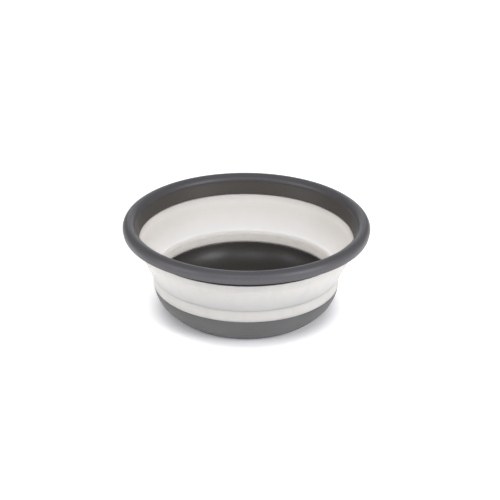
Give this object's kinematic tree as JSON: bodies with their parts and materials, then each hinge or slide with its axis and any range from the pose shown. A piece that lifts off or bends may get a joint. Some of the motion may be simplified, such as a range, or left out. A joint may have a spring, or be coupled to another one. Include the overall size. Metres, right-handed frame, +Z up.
{
  "type": "foot spa basin",
  "caption": "Round folding foot-soak basin: a rigid rolled rim and base pan joined by a soft wall that turns inside out, so the rim drops down around the base.",
  "frame": {"origin": "centre of the standing ring, on the surface the basin stands on", "axes": "+Z up along the basin's axis of revolution; X and Y are level and equivalent"},
  "size_m": [0.37, 0.37, 0.1447],
  "materials": {
    "rim_plastic": "satin moulded polypropylene, cool dark grey",
    "wall_rubber": "soft satin thermoplastic rubber, warm off-white",
    "pan_plastic": "satin moulded polypropylene, dark grey"
  },
  "bodies": {
    "base": {"base_pan": "pan_plastic", "wall_lower_band": "wall_rubber"},
    "rim": {"rim": "rim_plastic", "wall_upper_band": "wall_rubber"},
    "panel_1": {"wall_panel_ring_1": "wall_rubber"},
    "panel_2": {"wall_panel_ring_2": "wall_rubber"},
    "panel_3": {"wall_panel_ring_3": "wall_rubber"},
    "panel_4": {"wall_panel_ring_4": "wall_rubber"},
    "panel_5": {"wall_panel_ring_5": "wall_rubber"},
    "panel_6": {"wall_panel_ring_6": "wall_rubber"}
  },
  "joints": [
    {"name": "rim_fold", "type": "slide", "parent": "base", "child": "rim", "axis": [0, 0, -1], "range_m": [0, 0.0734]},
    {"name": "panel_1_fold", "type": "slide", "parent": "base", "child": "panel_1", "axis": [0, 0, -1], "range_m": [0, 0.00146]},
    {"name": "panel_2_fold", "type": "slide", "parent": "base", "child": "panel_2", "axis": [0, 0, -1], "range_m": [0, 0.01149]},
    {"name": "panel_3_fold", "type": "slide", "parent": "base", "child": "panel_3", "axis": [0, 0, -1], "range_m": [0, 0.02763]},
    {"name": "panel_4_fold", "type": "slide", "parent": "base", "child": "panel_4", "axis": [0, 0, -1], "range_m": [0, 0.04581]},
    {"name": "panel_5_fold", "type": "slide", "parent": "base", "child": "panel_5", "axis": [0, 0, -1], "range_m": [0, 0.06195]},
    {"name": "panel_6_fold", "type": "slide", "parent": "base", "child": "panel_6", "axis": [0, 0, -1], "range_m": [0, 0.07198]}
  ],
  "couplings": [
    {"joint": "panel_1_fold", "follows": "rim_fold", "ratio": 0.019676},
    {"joint": "panel_2_fold", "follows": "rim_fold", "ratio": 0.15625},
    {"joint": "panel_3_fold", "follows": "rim_fold", "ratio": 0.37616},
    {"joint": "panel_4_fold", "follows": "rim_fold", "ratio": 0.62384},
    {"joint": "panel_5_fold", "follows": "rim_fold", "ratio": 0.84375},
    {"joint": "panel_6_fold", "follows": "rim_fold", "ratio": 0.98032}
  ]
}
